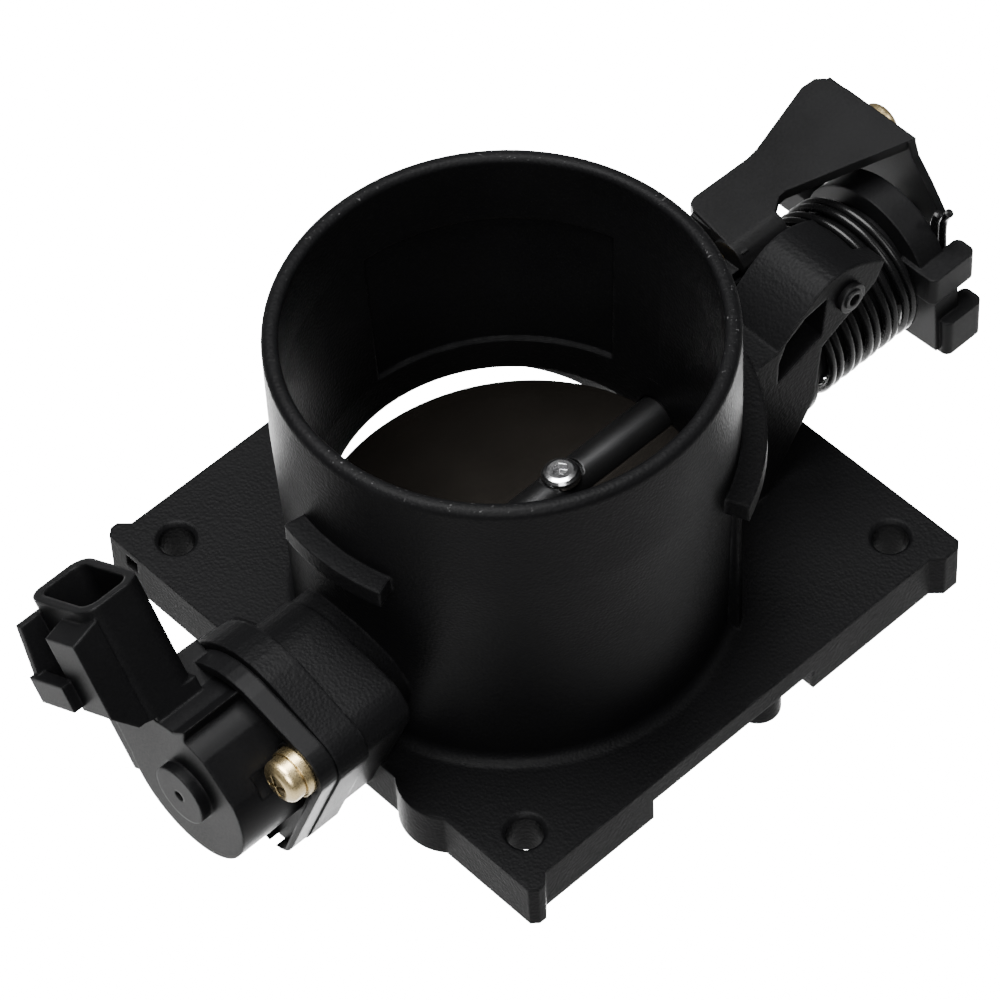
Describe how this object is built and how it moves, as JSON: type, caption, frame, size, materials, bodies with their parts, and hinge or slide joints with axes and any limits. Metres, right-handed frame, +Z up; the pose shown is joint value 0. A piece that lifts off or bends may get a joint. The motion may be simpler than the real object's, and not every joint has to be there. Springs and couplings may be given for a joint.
{
  "type": "throttle body",
  "caption": "Cable-operated throttle body: tall round inlet on a square flange, sprung throttle plate, cable cam and rotary position sensor.",
  "frame": {"origin": "centre of the flange holes on the mounting face", "axes": "+Z up the inlet bore; +X along the throttle shaft towards the cable cam; +Y completes the frame"},
  "size_m": [0.2025, 0.118, 0.0857],
  "materials": {
    "cast_black": "matt black powder coat over a casting, fine leathery grain",
    "sensor_plastic": "smooth satin black moulding",
    "cam_plastic": "satin black moulding",
    "shaft_steel": "dark ground steel",
    "plate_brass": "dark satin plate with a warm sheen",
    "bright_steel": "bright plated steel",
    "zinc_steel": "zinc-plated steel",
    "yellow_zinc": "yellow zinc plating",
    "bearing_bronze": "sintered bronze",
    "seal_rubber": "matt black rubber",
    "spring_steel": "black oiled spring wire",
    "bracket_black": "smooth satin black",
    "rotor_nylon": "natural nylon",
    "contact_brass": "thin bright contact metal",
    "track_board": "brown board with a dark resistor track"
  },
  "bodies": {
    "housing": {"housing": "cast_black", "bearing_lever_side": "bearing_bronze", "bearing_sensor_side": "bearing_bronze", "seal_lever_side": "seal_rubber", "seal_sensor_side": "seal_rubber", "sensor_housing": "sensor_plastic", "sensor_cover": "sensor_plastic", "sensor_track": "track_board", "sensor_terminals": "contact_brass", "sensor_o_ring": "seal_rubber", "sensor_screws": "yellow_zinc", "sensor_washers": "yellow_zinc", "return_spring_inner": "spring_steel", "return_spring_outer": "spring_steel", "spring_anchor": "bracket_black", "thrust_washer": "zinc_steel", "cable_bracket": "bracket_black", "bracket_foot_screw": "yellow_zinc", "bracket_end_screw": "yellow_zinc", "stop_screw": "zinc_steel", "stop_nut": "zinc_steel"},
    "throttle": {"shaft": "shaft_steel", "throttle_plate": "plate_brass", "plate_screws": "bright_steel", "sensor_rotor": "rotor_nylon", "sensor_wiper": "contact_brass", "cable_cam": "cam_plastic", "spring_sleeve": "cam_plastic", "cam_washer": "zinc_steel", "cam_nut": "zinc_steel"}
  },
  "joints": [
    {"name": "throttle_turn", "type": "hinge", "parent": "housing", "child": "throttle", "pos_m": [-0.0096, -0.0053, 0.027], "axis": [-1, 0, 0], "range_deg": [0, 80], "stiffness_Nm_per_rad": 0.25, "springref_deg": -34.38, "deforming": ["return_spring_inner", "return_spring_outer"]}
  ]
}
